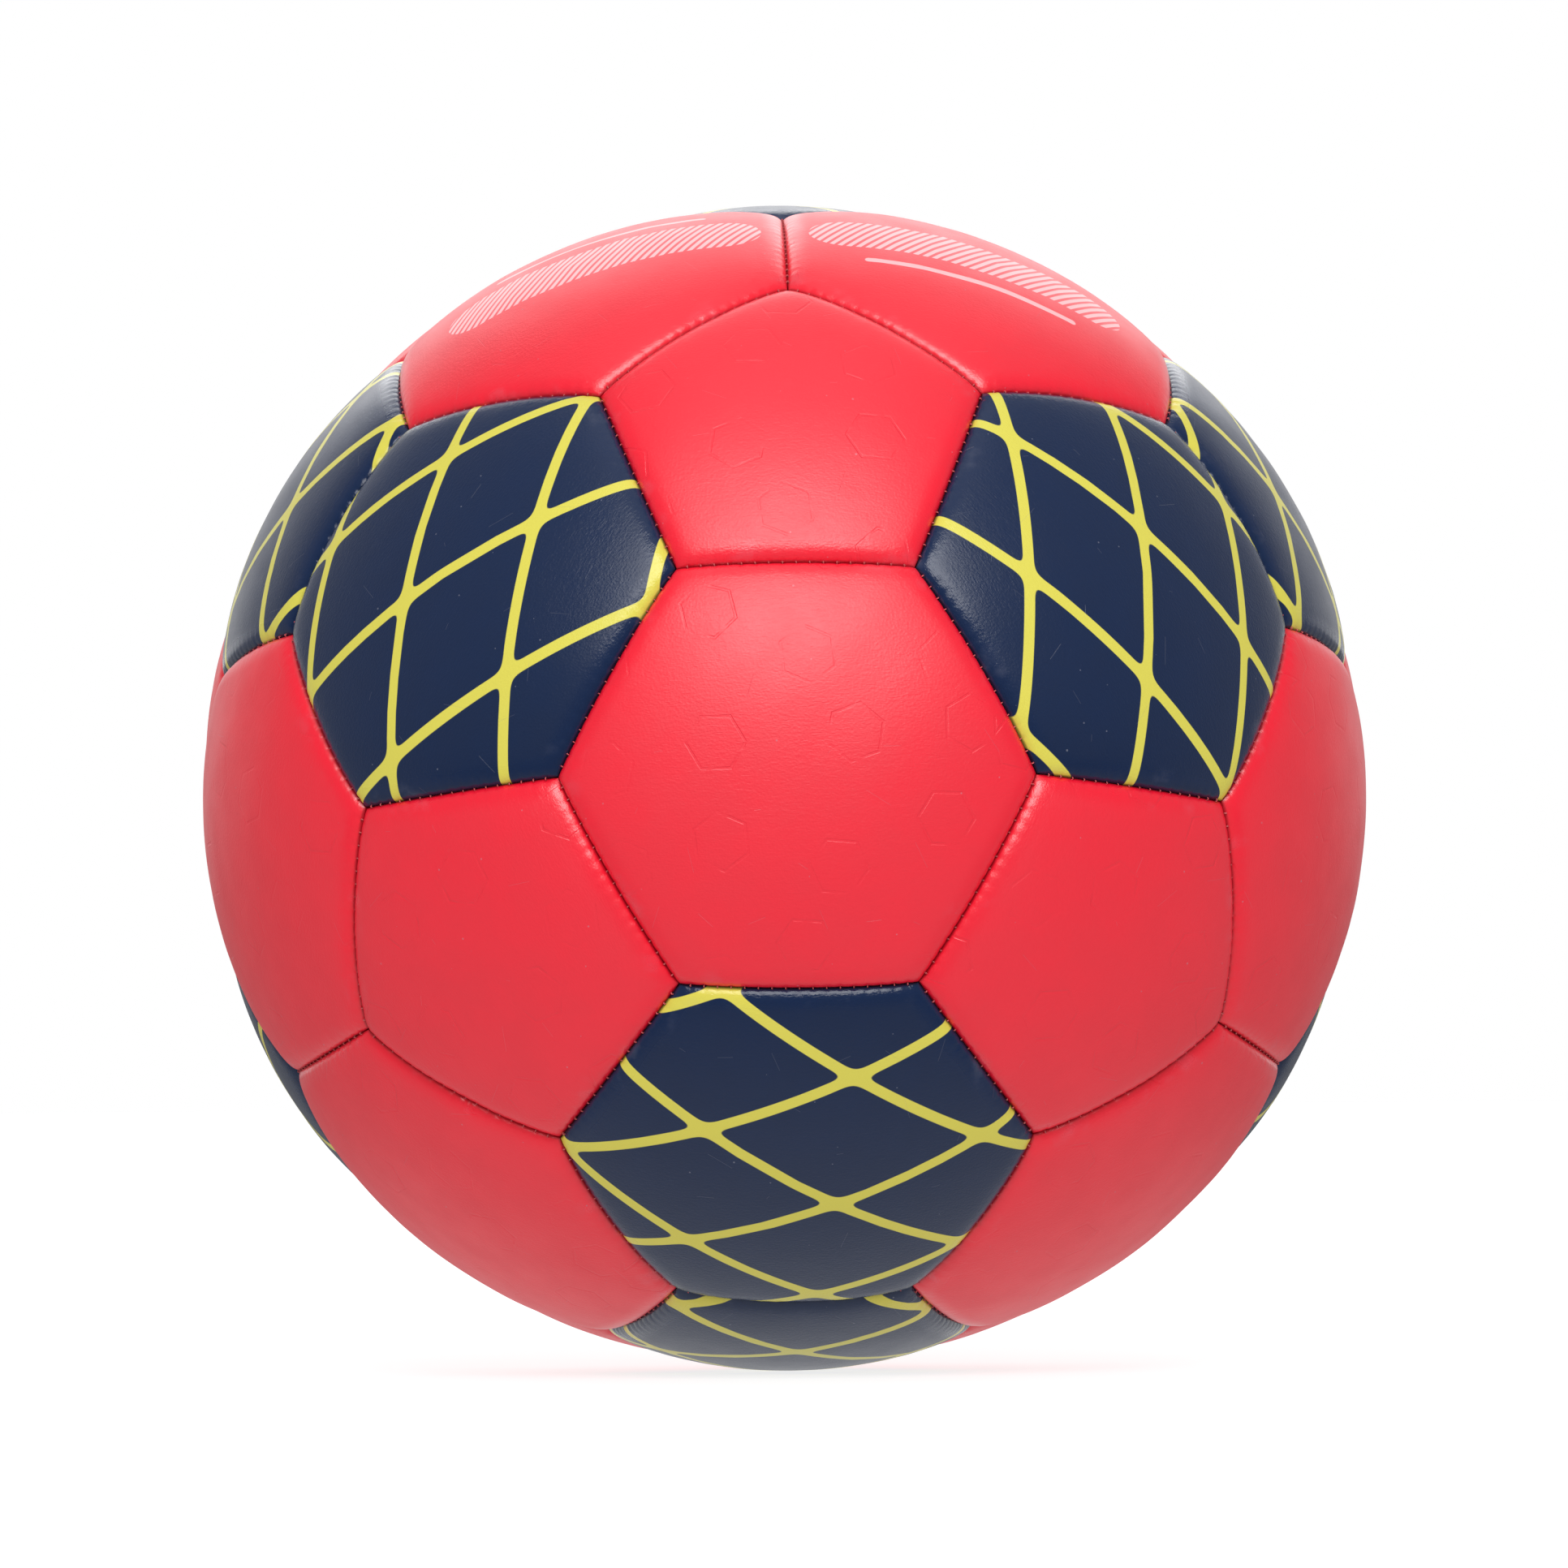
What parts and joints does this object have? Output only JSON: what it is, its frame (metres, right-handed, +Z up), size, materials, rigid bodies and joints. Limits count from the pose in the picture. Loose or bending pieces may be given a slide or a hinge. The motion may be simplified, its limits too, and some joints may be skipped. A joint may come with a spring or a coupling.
{
  "type": "handball",
  "caption": "Inflated, stitched ball of padded hexagon and pentagon panels over a rubber bladder, with a needle valve at the back.",
  "frame": {"origin": "centre of the ball", "axes": "+Z up, -Y out through the middle of the front hexagon, +Y out along the axis of the valve; the pentagon above the front hexagon leans towards +Z"},
  "size_m": [0.1864, 0.1879, 0.1874],
  "materials": {
    "red_cover": "satin grained polyurethane synthetic leather, faintly debossed",
    "navy_cover": "satin grained polyurethane synthetic leather with a printed diamond net",
    "foam": "fine closed-cell foam",
    "lining": "plain woven polyester and cotton",
    "thread": "waxed twisted polyester",
    "bladder_rubber": "smooth dusted butyl",
    "valve_rubber": "matt moulded butyl"
  },
  "bodies": {
    "root": {"hexagon_panel_01": "red_cover", "hexagon_panel_02": "navy_cover", "hexagon_panel_03": "navy_cover", "hexagon_panel_04": "navy_cover", "hexagon_panel_05": "red_cover", "hexagon_panel_06": "red_cover", "hexagon_panel_07": "red_cover", "hexagon_panel_08": "red_cover", "hexagon_panel_09": "red_cover", "hexagon_panel_10": "red_cover", "hexagon_panel_11": "red_cover", "hexagon_panel_12": "red_cover", "hexagon_panel_13": "red_cover", "hexagon_panel_14": "red_cover", "hexagon_panel_15": "red_cover", "hexagon_panel_16": "red_cover", "hexagon_panel_17": "navy_cover", "hexagon_panel_18": "navy_cover", "hexagon_panel_19": "navy_cover", "hexagon_panel_20": "red_cover", "pentagon_panel_01": "red_cover", "pentagon_panel_02": "red_cover", "pentagon_panel_03": "red_cover", "pentagon_panel_04": "navy_cover", "pentagon_panel_05": "navy_cover", "pentagon_panel_06": "navy_cover", "pentagon_panel_07": "navy_cover", "pentagon_panel_08": "navy_cover", "pentagon_panel_09": "navy_cover", "pentagon_panel_10": "red_cover", "pentagon_panel_11": "red_cover", "pentagon_panel_12": "red_cover", "hexagon_foam_pads": "foam", "pentagon_foam_pads": "foam", "hexagon_linings": "lining", "pentagon_linings": "lining", "hexagon_seam_threads": "thread", "pentagon_seam_threads": "thread", "bladder": "bladder_rubber", "valve_patch": "lining", "valve_boot": "valve_rubber", "valve_core": "valve_rubber"}
  },
  "joints": []
}
